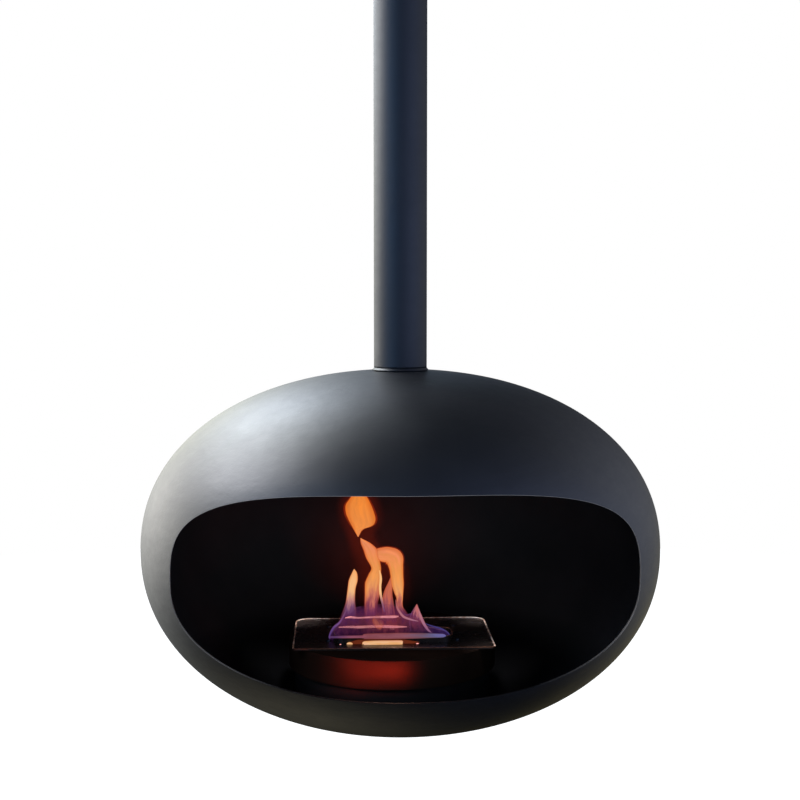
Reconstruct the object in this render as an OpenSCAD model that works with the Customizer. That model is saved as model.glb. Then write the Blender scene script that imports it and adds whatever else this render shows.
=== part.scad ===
// Ceiling-hung ethanol fire: a steel shell with a wide mouth, hanging on a pole
// and turning on a thrust bearing, with a lift-out burner on a drum inside it.
// Origin: centre of the ceiling plate's upper face. Z points up, the mouth faces -Y.

/* [Shell] */
// Outside diameter of the shell at its widest line
shell_d = 620; // [580:5:660]
// Height of the dome above the widest line
dome_h = 211; // [190:1:230]
// Depth of the bowl below the widest line
bowl_h = 215; // [205:1:240]
// Fullness of the dome's curve, where 2 is an ellipse
dome_fullness = 2.16; // [2:0.02:2.4]
// Fullness of the bowl's curve, where 2 is an ellipse
bowl_fullness = 2.12; // [2:0.02:2.4]
// Thickness of the spun sheet
shell_wall = 3; // [2:0.5:4]

/* [Mouth] */
// Width of the mouth at its widest line
mouth_w = 514; // [440:2:520]
// Height of the mouth above its widest line
mouth_up = 111; // [90:1:116]
// Height of the mouth below its widest line
mouth_down = 107; // [90:1:110]
// Distance of the mouth's widest line below the shell's
mouth_drop = 11.5; // [0:0.5:14]
// Fullness of the mouth's upper edge
mouth_up_fullness = 3.1; // [2:0.1:4]
// Fullness of the mouth's lower edge
mouth_down_fullness = 2.5; // [2:0.1:4]

/* [Pole] */
// Outside diameter of the pole
pole_d = 63.5; // [60:0.5:70]
// Wall of the pole
pole_wall = 3; // [2:0.5:4]
// Length of the pole below the ceiling plate
pole_len = 1000; // [400:10:2400]
// Height of the collar between the pole and the shell
collar_h = 5; // [4:1:12]

/* [Ceiling fixing] */
// Diameter of the ceiling plate
plate_d = 150; // [136:1:156]
// Thickness of the ceiling plate
plate_t = 6; // [4:1:10]
// Circle of the ceiling bolts
bolt_circle = 120; // [100:1:124]
// Hole for each ceiling bolt
bolt_hole_d = 9; // [6:0.5:10]
// Diameter of the rose that hides the plate
rose_d = 170; // [166:1:220]
// Height of the rose without its neck
rose_h = 45; // [44:1:80]

/* [Swivel] */
// Diameter of the spindle that carries the shell
spindle_d = 20; // [16:1:22]
// Balls in the thrust bearing
ball_count = 12; // [8:1:13]
// Diameter of each ball
ball_d = 5; // [4:0.5:5]

/* [Drum] */
// Diameter of the drum under the burner
drum_d = 250; // [244:1:264]
// Height of the drum's skirt
drum_h = 33; // [20:1:45]
// Distance of the drum's deck below the shell's widest line
deck_drop = 112; // [106:1:116]

/* [Burner] */
// Width of the burner's top tray
tray_w = 238; // [220:1:244]
// Depth of the burner's top tray
tray_d = 150; // [140:1:156]
// Height of the tray's upturned rim
rim_h = 1; // [0.5:0.5:8]
// Width of the flame opening
flame_w = 140; // [100:1:142]
// Depth of the flame opening
flame_d = 44; // [40:1:52]
// Height of the collar round the flame opening
lip_h = 7.5; // [3:0.5:12]
// Depth of the fuel tank
tank_h = 48; // [40:1:60]
// Sideways place of the burner and its drum in the bowl
burner_x = -10; // [-12:1:12]

/* [Hidden] */
$fn = 96;
// Gaps between pieces that move on each other, and slack round pieces that lift out
run_gap = 0.5;
slide_gap = 0.3;
bearing_gap = 0.05;
fit_gap = 0.08;
lift_gap = 3;
// Extra length of a cutter past the face it cuts
past = 1;

// Levels from the ceiling down
plate_under = -plate_t;
pole_end = plate_under - pole_len;
collar_top = pole_end - run_gap;
crown_top = collar_top - collar_h;
land_r = 40;
crown_h = floor(10 * oval_height(land_r, shell_d / 2, dome_h, dome_fullness)) / 10;
waist_z = crown_top - crown_h;
deck_z = waist_z - deck_drop;

// Points on each quarter of the shell's curve and of the mouth's outline
dome_steps = 24;
mouth_steps = 16;

// Head of the pole
pole_bore = pole_d - 2 * pole_wall;
spigot_len = 60;
spigot_wall = 3;
spigot_d = pole_bore - 2 * fit_gap;
head_screw_d = 6;
head_screw_z = plate_under - 26;
head_screw_count = 3;

// Rose
rose_wall = 1.5;
rose_round = 14;
rose_ceiling_gap = 0.5;
rose_neck_wall = 5;
rose_neck_h = 8;
rose_hole_d = pole_d + 2 * run_gap;
rose_screw_d = 4;
rose_screw_head_d = 8;
rose_screw_head_h = 4;

// Swivel
foot_h = 30;
foot_top = pole_end + foot_h;
bush_wall = 3;
bush_d = spindle_d + 2 * fit_gap + 2 * bush_wall;
bearing_h = 2 * ball_d;
bearing_top = foot_top + bearing_h;
ball_level = (foot_top + bearing_top) / 2;
ball_circle = spindle_d + 8;
race_h = 0.36 * bearing_h;
race_d = spindle_d + 15;
cage_t = 0.32 * ball_d;
nut_flats = 1.5 * spindle_d;
nut_h = 0.8 * spindle_d;
washer_t = 3;
washer_d = 1.85 * spindle_d;
top_washer_top = bearing_top + washer_t;
castle_h = 4;
split_pin_d = 4;
split_pin_z = top_washer_top + nut_h + castle_h / 2;
spindle_top = top_washer_top + nut_h + castle_h + 2;

// Shell hanger
hanger_d = 76;
hanger_t = 8;
hanger_top = crown_top - shell_wall;
hanger_under = hanger_top - hanger_t;
clamp_washer_under = hanger_under - washer_t;
spindle_bottom = clamp_washer_under - nut_h - 4;
collar_screw_d = 5;
collar_screw_head_d = 10;
collar_screw_head_h = 2.5;
collar_screw_len = collar_h + shell_wall + 6;
collar_screw_circle = 48;
collar_screw_count = 4;

// Drum
deck_t = 2;
ring_d = drum_d - 14;
ring_wall = 2;

// Burner
tray_t = 1.5;
tray_back_round = 18;
tray_front_round = 6;
rim_wall = 1.5;
lip_wall = 1.5;
flame_round = 12;
shutter_t = 1.5;
shutter_round = 8;
shutter_cover = 2;
shutter_w = flame_w + 4 * shutter_cover;
shutter_d = flame_d + 2 * shutter_cover;
rail_w = 5.5;
rail_lip = 3;
rail_t = 2;
rail_h = shutter_t + 2 * slide_gap + rail_t;
tank_wall = 1.5;
tank_in_w = shutter_w + 2 * (slide_gap + rail_w) + 2 * slide_gap;
tank_in_d = 2 * shutter_d + 4 * slide_gap;
tank_w = tank_in_w + 2 * tank_wall;
tank_d = tank_in_d + 2 * tank_wall;
tank_round = 12;
rail_len = tank_in_d - 2 * (tank_round - tank_wall);
flame_y = -shutter_d / 2;
knob_d = 7;
knob_h = 2.5;
knob_stem_d = 4;
knob_stem_h = slide_gap + tray_t + lip_h - knob_h - 1;
knob_gap = 1;
knob_y = -shutter_cover - knob_gap - knob_d / 2;
shutter_front = knob_y - knob_d / 2 - knob_gap - shutter_cover;
rail_screw_d = 3;
rail_screw_head_d = 6;
rail_screw_head_h = 1.2;
rail_screw_x = shutter_w / 2 + slide_gap + rail_w / 2;
rail_screw_y = rail_len / 2 - 4;
grid_t = 1;
grid_z = -rail_h - 6;
grid_hole_d = 6;
grid_pitch = 11;
grid_columns = floor((tank_in_w - 2 * tank_round) / grid_pitch / 2);
grid_rows = floor((tank_in_d - 2 * tank_round) / grid_pitch / 2);

// Colours
satin_black = [0.13, 0.15, 0.19];
raw_steel = [0.62, 0.63, 0.65];
dark_steel = [0.32, 0.32, 0.34];
bronze = [0.72, 0.53, 0.3];
stainless = [0.74, 0.74, 0.75];
ceramic_white = [0.9, 0.89, 0.86];

// A point on one quarter of an oval whose fullness may differ from an ellipse's
function oval_point(half_w, half_h, fullness, t) =
    [half_w * pow(cos(t), 2 / fullness), half_h * pow(sin(t), 2 / fullness)];

// Height of that oval at a distance from its upright axis
function oval_height(x, half_w, half_h, fullness) =
    half_h * pow(1 - pow(x / half_w, fullness), 1 / fullness);

// Solid dome on the widest line, cut flat where it reaches the crown
module dome(radius, height, fullness, crown, below = 0) {
    last = asin(pow(crown / height, fullness / 2));
    curve = [for (i = [0 : dome_steps - 1]) oval_point(radius, height, fullness, last * i / dome_steps)];
    top = [radius * pow(cos(last), 2 / fullness), crown];
    rotate_extrude()
        polygon(concat([[0, -below]], below > 0 ? [[radius, -below]] : [], curve, [top],
            crown < height ? [[0, crown]] : []));
}

// The space inside the bowl, from the widest line down
module bowl_space(above = 0) {
    mirror([0, 0, 1])
        dome(shell_d / 2 - shell_wall, bowl_h - shell_wall, bowl_fullness, bowl_h - shell_wall, above);
}

// Prism through the front of the shell in the shape of the mouth
module mouth_cutter() {
    upper = [for (i = [0 : 2 * mouth_steps])
        let (t = 90 * i / mouth_steps, side = t < 90 ? 1 : -1,
            p = oval_point(mouth_w / 2, mouth_up, mouth_up_fullness, t < 90 ? t : 180 - t))
        [side * p[0], p[1]]];
    lower = [for (i = [1 : 2 * mouth_steps - 1])
        let (t = 90 * i / mouth_steps, side = t < 90 ? -1 : 1,
            p = oval_point(mouth_w / 2, mouth_down, mouth_down_fullness, t < 90 ? t : 180 - t))
        [side * p[0], -p[1]]];
    translate([0, 0, -mouth_drop])
        rotate([90, 0, 0])
            linear_extrude(shell_d / 2 + past)
                polygon(concat(upper, lower));
}

// Flat outline with round corners
module rounded_rect(w, d, r) {
    square([w - 2 * r, d], center = true);
    square([w, d - 2 * r], center = true);
    for (x = [-1, 1], y = [-1, 1])
        translate([x * (w / 2 - r), y * (d / 2 - r)])
            circle(r);
}

module rounded_plate(w, d, r, h) {
    linear_extrude(h)
        rounded_rect(w, d, r);
}

module around(count) {
    for (i = [0 : count - 1])
        rotate([0, 0, i * 360 / count])
            children();
}

module hex_nut(height) {
    difference() {
        cylinder(h = height, d = nut_flats / cos(30), $fn = 6);
        translate([0, 0, -past])
            cylinder(h = height + 2 * past, d = spindle_d);
    }
}

module plain_washer() {
    difference() {
        cylinder(h = washer_t, d = washer_d);
        translate([0, 0, -past])
            cylinder(h = washer_t + 2 * past, d = spindle_d + 2 * fit_gap);
    }
}

module collar_screw_shape(extra = 0) {
    translate([collar_screw_circle / 2, 0, collar_top]) {
        translate([0, 0, -collar_screw_len])
            cylinder(h = collar_screw_len + extra, d = collar_screw_d);
        translate([0, 0, -collar_screw_head_h])
            cylinder(h = collar_screw_head_h, d1 = collar_screw_d, d2 = collar_screw_head_d);
    }
}

// Places its children on the drum's deck, in the burner's own place
module on_deck() {
    translate([burner_x, 0, deck_z])
        children();
}

module head_screw_holes() {
    around(head_screw_count)
        translate([0, 0, head_screw_z])
            rotate([0, 90, 0])
                cylinder(h = pole_d, d = head_screw_d);
}

module ceiling_plate() {
    color(raw_steel)
        translate([0, 0, plate_under])
            difference() {
                cylinder(h = plate_t, d = plate_d);
                around(4)
                    translate([bolt_circle / 2, 0, -past])
                        cylinder(h = plate_t + 2 * past, d = bolt_hole_d);
            }
}

module head_spigot() {
    color(raw_steel)
        difference() {
            translate([0, 0, plate_under - spigot_len])
                cylinder(h = spigot_len, d = spigot_d);
            translate([0, 0, plate_under - spigot_len - past])
                cylinder(h = spigot_len + 2 * past, d = spigot_d - 2 * spigot_wall);
            head_screw_holes();
        }
}

module head_screws() {
    inner_end = spigot_d / 2 - spigot_wall;
    outer_end = pole_d / 2 - run_gap;
    color(dark_steel)
        around(head_screw_count)
            translate([inner_end, 0, head_screw_z])
                rotate([0, 90, 0])
                    difference() {
                        cylinder(h = outer_end - inner_end, d = head_screw_d);
                        translate([0, 0, outer_end - inner_end - 3])
                            cylinder(h = 3 + past, d = head_screw_d / 2, $fn = 6);
                    }
}

// Half section of the rose's cup, from its axis out
module rose_section(radius, height, round_r) {
    translate([0, -height])
        square([radius - round_r, height]);
    translate([0, round_r - height])
        square([radius, height - round_r]);
    translate([radius - round_r, round_r - height])
        circle(round_r);
}

module ceiling_rose() {
    neck_r = rose_hole_d / 2 + rose_neck_wall;
    color(satin_black)
        translate([0, 0, -rose_ceiling_gap])
            difference() {
                union() {
                    rotate_extrude()
                        difference() {
                            rose_section(rose_d / 2, rose_h, rose_round);
                            translate([0, rose_wall])
                                rose_section(rose_d / 2 - rose_wall, rose_h, rose_round - rose_wall);
                            translate([-rose_d, -rose_h - past])
                                square([rose_d, rose_h + 2 * past]);
                        }
                    translate([0, 0, -rose_h - rose_neck_h])
                        cylinder(h = rose_neck_h + rose_wall, r = neck_r);
                }
                translate([0, 0, -rose_h - rose_neck_h - past])
                    cylinder(h = rose_neck_h + rose_h, d = rose_hole_d);
                translate([0, 0, -rose_h - rose_neck_h / 2])
                    rotate([90, 0, 90])
                        cylinder(h = neck_r + past, d = rose_screw_d);
            }
}

module rose_screw() {
    tip = pole_d / 2 + slide_gap;
    neck_r = rose_hole_d / 2 + rose_neck_wall;
    color(dark_steel)
        translate([0, 0, -rose_ceiling_gap - rose_h - rose_neck_h / 2])
            rotate([0, 90, 0]) {
                translate([0, 0, tip])
                    cylinder(h = neck_r - tip, d = rose_screw_d);
                translate([0, 0, neck_r])
                    cylinder(h = rose_screw_head_h, d = rose_screw_head_d);
            }
}

module pole() {
    color(satin_black)
        difference() {
            translate([0, 0, pole_end])
                cylinder(h = pole_len, d = pole_d);
            translate([0, 0, pole_end - past])
                cylinder(h = pole_len + 2 * past, d = pole_bore);
            head_screw_holes();
        }
}

module pole_foot() {
    color(raw_steel)
        translate([0, 0, pole_end])
            difference() {
                cylinder(h = foot_h, d = pole_bore);
                translate([0, 0, -past])
                    cylinder(h = foot_h + 2 * past, d = bush_d);
            }
}

module swivel_bush() {
    color(bronze)
        translate([0, 0, pole_end])
            difference() {
                cylinder(h = foot_h, d = bush_d);
                translate([0, 0, -past])
                    cylinder(h = foot_h + 2 * past, d = spindle_d + 2 * fit_gap);
            }
}

// Ring that the balls run on, cut from a washer by a round groove
module race(bore_d, level) {
    difference() {
        translate([0, 0, level])
            cylinder(h = race_h, d = race_d);
        translate([0, 0, level - past])
            cylinder(h = race_h + 2 * past, d = bore_d);
        translate([0, 0, ball_level])
            rotate_extrude()
                translate([ball_circle / 2, 0])
                    circle(ball_d / 2 + bearing_gap);
    }
}

module bearing_lower_race() {
    color(stainless)
        race(spindle_d + 2 * run_gap, foot_top);
}

module bearing_upper_race() {
    color(stainless)
        race(spindle_d, bearing_top - race_h);
}

module bearing_balls() {
    color(stainless)
        around(ball_count)
            translate([ball_circle / 2, 0, ball_level])
                sphere(d = ball_d);
}

module bearing_cage() {
    color(bronze)
        difference() {
            translate([0, 0, ball_level - cage_t / 2])
                cylinder(h = cage_t, d = ball_circle + ball_d + 1.4);
            translate([0, 0, ball_level - cage_t])
                cylinder(h = 2 * cage_t, d = ball_circle - ball_d - 1);
            around(ball_count)
                translate([ball_circle / 2, 0, ball_level - cage_t])
                    cylinder(h = 2 * cage_t, d = ball_d + 2 * bearing_gap);
        }
}

module top_washer() {
    color(stainless)
        translate([0, 0, bearing_top])
            plain_washer();
}

module top_nut() {
    color(raw_steel)
        translate([0, 0, top_washer_top])
            difference() {
                hex_nut(nut_h + castle_h);
                for (a = [0, 60, 120])
                    rotate([0, 0, a])
                        translate([-nut_flats, -split_pin_d / 2, nut_h])
                            cube([2 * nut_flats, split_pin_d, castle_h + past]);
            }
}

module split_pin() {
    reach = nut_flats / 2 + 3;
    color(stainless)
        translate([0, 0, split_pin_z]) {
            translate([-reach, 0, 0])
                rotate([0, 90, 0])
                    cylinder(h = 2 * reach, d = split_pin_d);
            translate([reach + split_pin_d, 0, 0])
                rotate([90, 0, 0])
                    rotate_extrude()
                        translate([split_pin_d, 0])
                            circle(d = split_pin_d / 2);
        }
}

module spindle() {
    color(raw_steel)
        difference() {
            translate([0, 0, spindle_bottom])
                cylinder(h = spindle_top - spindle_bottom, d = spindle_d);
            translate([-spindle_d, 0, split_pin_z])
                rotate([0, 90, 0])
                    cylinder(h = 2 * spindle_d, d = split_pin_d);
        }
}

module collar() {
    color(satin_black)
        difference() {
            translate([0, 0, crown_top])
                cylinder(h = collar_h, d = pole_d);
            translate([0, 0, crown_top - past])
                cylinder(h = collar_h + 2 * past, d = spindle_d);
            around(collar_screw_count)
                collar_screw_shape(past);
        }
}

module collar_screws() {
    color(dark_steel)
        around(collar_screw_count)
            collar_screw_shape();
}

module hanger_plate() {
    color(raw_steel)
        difference() {
            translate([0, 0, hanger_under])
                cylinder(h = hanger_t, d = hanger_d);
            translate([0, 0, hanger_under - past])
                cylinder(h = hanger_t + 2 * past, d = spindle_d);
            around(collar_screw_count)
                collar_screw_shape();
        }
}

module clamp_washer() {
    color(stainless)
        translate([0, 0, clamp_washer_under])
            plain_washer();
}

module clamp_nut() {
    color(raw_steel)
        translate([0, 0, clamp_washer_under - nut_h])
            hex_nut(nut_h);
}

module upper_shell() {
    color(satin_black)
        difference() {
            translate([0, 0, waist_z])
                difference() {
                    dome(shell_d / 2, dome_h, dome_fullness, crown_h);
                    dome(shell_d / 2 - shell_wall, dome_h - shell_wall, dome_fullness,
                        crown_h - shell_wall, past);
                    mouth_cutter();
                }
            translate([0, 0, hanger_top - past])
                cylinder(h = shell_wall + 2 * past, d = spindle_d + 2 * fit_gap);
            around(collar_screw_count)
                collar_screw_shape();
        }
}

module lower_shell() {
    color(satin_black)
        translate([0, 0, waist_z])
            difference() {
                mirror([0, 0, 1])
                    dome(shell_d / 2, bowl_h, bowl_fullness, bowl_h);
                bowl_space(past);
                mouth_cutter();
            }
}

module plinth_ring() {
    color(satin_black)
        intersection() {
            difference() {
                translate([burner_x, 0, waist_z - bowl_h])
                    cylinder(h = bowl_h - deck_drop - deck_t, d = ring_d);
                translate([burner_x, 0, waist_z - bowl_h - past])
                    cylinder(h = bowl_h, d = ring_d - 2 * ring_wall);
            }
            translate([0, 0, waist_z])
                bowl_space();
        }
}

module burner_drum() {
    color(satin_black)
        on_deck()
            difference() {
                translate([0, 0, -drum_h])
                    cylinder(h = drum_h, d = drum_d);
                translate([0, 0, -drum_h - past])
                    cylinder(h = drum_h - deck_t + past, d = drum_d - 2 * deck_t);
                translate([0, 0, -deck_t - past])
                    rounded_plate(tank_w + 2 * lift_gap, tank_d + 2 * lift_gap, tank_round,
                        deck_t + 2 * past);
            }
}

// Flat outline of the tray, rounder at its back corners than at its front ones
module tray_outline(inset = 0) {
    w = tray_w - 2 * inset;
    d = tray_d - 2 * inset;
    back = tray_back_round - inset;
    front = tray_front_round - inset;
    square([w - 2 * back, d], center = true);
    translate([0, -d / 4])
        square([w - 2 * front, d / 2], center = true);
    translate([0, (front - back) / 2])
        square([w, d - front - back], center = true);
    for (x = [-1, 1]) {
        translate([x * (w / 2 - back), d / 2 - back])
            circle(back);
        translate([x * (w / 2 - front), front - d / 2])
            circle(front);
    }
}

module burner_top() {
    color(stainless)
        on_deck()
            difference() {
                union() {
                    linear_extrude(tray_t)
                        tray_outline();
                    linear_extrude(tray_t + rim_h)
                        difference() {
                            tray_outline();
                            tray_outline(rim_wall);
                        }
                    translate([0, flame_y, 0])
                        rounded_plate(flame_w + 2 * lip_wall, flame_d + 2 * lip_wall,
                            flame_round + lip_wall, tray_t + lip_h);
                }
                translate([0, flame_y, -past])
                    rounded_plate(flame_w, flame_d, flame_round, tray_t + lip_h + 2 * past);
                rail_screw_places()
                    translate([0, 0, -past])
                        cylinder(h = tray_t + 2 * past, d = rail_screw_d);
            }
}

module burner_tank() {
    color(stainless)
        on_deck()
            translate([0, 0, -tank_h])
                difference() {
                    rounded_plate(tank_w, tank_d, tank_round, tank_h);
                    translate([0, 0, tank_wall])
                        rounded_plate(tank_in_w, tank_in_d, tank_round - tank_wall, tank_h);
                }
}

module wool_block() {
    floor_z = -tank_h + tank_wall;
    color(ceramic_white)
        on_deck()
            translate([0, 0, floor_z])
                rounded_plate(tank_in_w, tank_in_d, tank_round - tank_wall, grid_z - floor_z);
}

module wool_grid() {
    color(stainless)
        on_deck()
            translate([0, 0, grid_z])
                difference() {
                    rounded_plate(tank_in_w, tank_in_d, tank_round - tank_wall, grid_t);
                    for (i = [-grid_columns : grid_columns], j = [-grid_rows : grid_rows])
                        translate([i * grid_pitch, j * grid_pitch, -past])
                            cylinder(h = grid_t + 2 * past, d = grid_hole_d);
                }
}

module rail_screw_places() {
    for (x = [-1, 1], y = [-1, 1])
        translate([x * rail_screw_x, y * rail_screw_y, 0])
            children();
}

module damper_rails() {
    web_x = shutter_w / 2 + slide_gap;
    color(stainless)
        on_deck()
            difference() {
                for (side = [0, 1])
                    mirror([side, 0, 0])
                        translate([web_x, -rail_len / 2, -rail_h]) {
                            cube([rail_w, rail_len, rail_h]);
                            translate([-rail_lip, 0, 0])
                                cube([rail_lip + rail_w, rail_len, rail_t]);
                        }
                rail_screw_places()
                    translate([0, 0, -rail_h - past])
                        cylinder(h = rail_h + 2 * past, d = rail_screw_d);
            }
}

module rail_screws() {
    color(dark_steel)
        on_deck()
            rail_screw_places() {
                translate([0, 0, -rail_h])
                    cylinder(h = rail_h + tray_t, d = rail_screw_d);
                translate([0, 0, tray_t])
                    cylinder(h = rail_screw_head_h, d = rail_screw_head_d);
            }
}

module damper_plate() {
    color(stainless)
        on_deck()
            translate([0, shutter_front + shutter_d / 2, -slide_gap - shutter_t])
                rounded_plate(shutter_w, shutter_d, shutter_round, shutter_t);
}

module damper_knob() {
    color(dark_steel)
        on_deck()
            translate([0, knob_y, -slide_gap]) {
                cylinder(h = knob_stem_h, d = knob_stem_d);
                translate([0, 0, knob_stem_h])
                    cylinder(h = knob_h, d = knob_d);
            }
}

ceiling_plate();
head_spigot();
head_screws();
ceiling_rose();
rose_screw();
pole();
pole_foot();
swivel_bush();
bearing_lower_race();
bearing_balls();
bearing_cage();
bearing_upper_race();
top_washer();
top_nut();
split_pin();
spindle();
collar();
collar_screws();
hanger_plate();
clamp_washer();
clamp_nut();
upper_shell();
lower_shell();
plinth_ring();
burner_drum();
burner_top();
burner_tank();
wool_block();
wool_grid();
damper_rails();
rail_screws();
damper_plate();
damper_knob();
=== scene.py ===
# The look of a ceiling-hung ethanol fire: satin black shell and pole, a burner on a drum, and its flame.
import math

import bmesh
import bpy
import numpy as np
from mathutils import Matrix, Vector


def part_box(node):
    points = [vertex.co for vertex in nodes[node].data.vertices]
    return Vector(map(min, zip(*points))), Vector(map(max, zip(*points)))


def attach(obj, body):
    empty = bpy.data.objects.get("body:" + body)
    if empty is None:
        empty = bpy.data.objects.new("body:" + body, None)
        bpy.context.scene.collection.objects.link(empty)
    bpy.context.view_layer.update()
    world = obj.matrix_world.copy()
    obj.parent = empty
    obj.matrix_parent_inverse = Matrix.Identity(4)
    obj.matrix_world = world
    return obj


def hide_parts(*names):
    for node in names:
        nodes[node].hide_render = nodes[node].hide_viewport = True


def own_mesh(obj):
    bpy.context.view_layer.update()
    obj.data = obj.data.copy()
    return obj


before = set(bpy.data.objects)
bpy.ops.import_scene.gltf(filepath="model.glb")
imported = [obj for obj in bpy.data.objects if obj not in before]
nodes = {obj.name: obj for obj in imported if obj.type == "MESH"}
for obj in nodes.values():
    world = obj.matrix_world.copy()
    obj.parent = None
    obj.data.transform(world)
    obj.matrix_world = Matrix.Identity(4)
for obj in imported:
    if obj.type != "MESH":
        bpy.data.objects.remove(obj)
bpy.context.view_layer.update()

MM = 0.001
scene = bpy.context.scene

# Places taken from the frame
bowl_low, bowl_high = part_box("lower_shell")
tray_low, tray_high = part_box("burner_top")
drum_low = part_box("burner_drum")[0]
WAIST = bowl_high.z
RADIUS = bowl_high.x
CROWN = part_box("upper_shell")[1].z
BOTTOM = bowl_low.z
DECK = tray_low.z
BURNER_X = (tray_low.x + tray_high.x) / 2
POLE_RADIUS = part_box("pole")[1].x

# The shell's curve and its mouth, as the solids have them
WALL = 3 * MM
DOME_H = 211 * MM
BOWL_H = WAIST - BOTTOM
DOME_FULLNESS = 2.16
BOWL_FULLNESS = 2.12
MOUTH_W = 514 * MM
MOUTH_UP = 111 * MM
MOUTH_DOWN = 107 * MM
MOUTH_DROP = 11.5 * MM
MOUTH_UP_FULLNESS = 3.1
MOUTH_DOWN_FULLNESS = 2.5

# The middle of the flame, the height that its colours are spread over, and the width that tints run over
FLAME_Y = -24 * MM
FLAME_H = 180 * MM
TINT_W = 150 * MM

# Streaks per metre, across the flow and along it
TONGUE_STREAKS = (260, 38)
BED_STREAKS = (150, 60)


def new_material(name):
    """An empty node material and its node tree."""
    mat = bpy.data.materials.new(name)
    mat.use_nodes = True
    mat.node_tree.nodes.clear()
    return mat, mat.node_tree


def feed(tree, socket, value):
    """Links an input to an output, or sets it to a value."""
    if isinstance(value, bpy.types.NodeSocket):
        tree.links.new(value, socket)
    else:
        socket.default_value = value


def add(tree, kind, *values, **settings):
    """A node whose first inputs take the values in order, and whose settings name an input or a property."""
    node = tree.nodes.new("ShaderNode" + kind)
    for key, value in settings.items():
        socket = node.inputs.get(key.replace("_", " "))
        if socket is None:
            setattr(node, key, value)
        else:
            feed(tree, socket, value)
    for socket, value in zip(node.inputs, values):
        feed(tree, socket, value)
    return node


def finish(mat, shader):
    """The material with a shader on its surface."""
    add(mat.node_tree, "OutputMaterial", Surface=shader.outputs[0])
    return mat


def ramp(tree, source, stops, interpolation="LINEAR"):
    """A colour ramp fed by a value; stops are (place, colour), where a number stands for a grey."""
    node = add(tree, "ValToRGB", source)
    node.color_ramp.interpolation = interpolation
    elements = node.color_ramp.elements
    stops = [(place, (*(shade if isinstance(shade, tuple) else (shade,) * 3), 1)) for place, shade in stops]
    elements[0].position, elements[0].color = stops[0]
    elements[1].position, elements[1].color = stops[-1]
    for place, colour in stops[1:-1]:
        elements.new(place).color = colour
    return node.outputs["Color"]


def maths(tree, operation, a, b=0.5, clamp=False):
    """The result of a Math node; a and b are numbers or outputs."""
    return add(tree, "Math", a, b, operation=operation, use_clamp=clamp).outputs[0]


def map_range(tree, value, from_low, from_high, to_low, to_high):
    """A value carried from one range to another, and held at its ends."""
    return add(tree, "MapRange", value, from_low, from_high, to_low, to_high).outputs["Result"]


def tinted(tree, amount, a, b, blend_type="MULTIPLY"):
    """Colour a multiplied by colour b, or mixed with it."""
    node = add(tree, "Mix", data_type="RGBA", blend_type=blend_type)
    for index, value in ((0, amount), (6, a), (7, b)):
        feed(tree, node.inputs[index], value)
    return node.outputs[2]


def noise(tree, place, scale, detail, roughness=0.5):
    """Noise from 0 to 1 at a place."""
    return add(tree, "TexNoise", Vector=place, Scale=scale, Detail=detail, Roughness=roughness).outputs["Fac"]


def object_place(tree, stretch=(1, 1, 1)):
    """Object coordinates, stretched."""
    coords = add(tree, "TexCoord")
    return add(tree, "Mapping", Vector=coords.outputs["Object"], Scale=stretch).outputs["Vector"]


def bump(tree, height, strength, distance, **under):
    """A normal tilted by a height, over the one given as Normal if there is one."""
    return add(tree, "Bump", Height=height, Strength=strength, Distance=distance, **under).outputs["Normal"]


def powder_coat(name, dark, light, rough, specular, grain=0.12, low_share=1.0, low=-110 * MM,
                high=-60 * MM, dents=0.0):
    """Satin powder coat: a fine orange-peel grain, and cloudy colour and roughness.

    Under the height low its colour is multiplied by low_share, and over high it is unchanged; both are
    measured from the waist. Dents are the shallow unevenness of hand-finished sheet, in metres.
    """
    mat, tree = new_material(name)
    place = object_place(tree)
    clouds = noise(tree, place, 9, 3)
    grains = noise(tree, place, 1400, 2)
    peel = noise(tree, place, 420, 3)
    colour = ramp(tree, clouds, [(0.3, dark), (0.7, light)])
    if low_share != 1.0:
        level = add(tree, "SeparateXYZ", place).outputs["Z"]
        share = map_range(tree, level, WAIST + low, WAIST + high, low_share, 1.0)
        colour = add(tree, "VectorMath", colour, operation="SCALE", Scale=share).outputs["Vector"]
    roughness = ramp(tree, clouds, [(0.25, rough - 0.03), (0.75, rough + 0.03)])
    height = maths(tree, "ADD", grains, maths(tree, "MULTIPLY", peel, 1.5))
    normal = bump(tree, height, grain, 0.15 * MM)
    if dents:
        uneven = noise(tree, object_place(tree, (1, 1, 2.2)), 45, 5, 0.62)
        change = maths(tree, "MULTIPLY", maths(tree, "SUBTRACT", uneven, 0.5), 0.12)
        roughness = maths(tree, "ADD", roughness, change)
        normal = bump(tree, uneven, 1.0, dents, Normal=normal)
    return finish(mat, add(tree, "BsdfPrincipled", Base_Color=colour, Roughness=roughness, Normal=normal,
                           Specular_IOR_Level=specular))


def brushed_metal(name, dark, light, rough, stretch):
    """Metal with fine lines along one direction, and stains that change its colour."""
    mat, tree = new_material(name)
    lines = noise(tree, object_place(tree, stretch), 60, 6, 0.7)
    stains = noise(tree, object_place(tree), 18, 4)
    return finish(mat, add(tree, "BsdfPrincipled", Metallic=1.0,
                           Base_Color=ramp(tree, stains, [(0.35, dark), (0.65, light)]),
                           Roughness=ramp(tree, lines, [(0.3, rough - 0.07), (0.7, rough + 0.07)]),
                           Normal=bump(tree, lines, 0.15, 0.05 * MM)))


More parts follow.
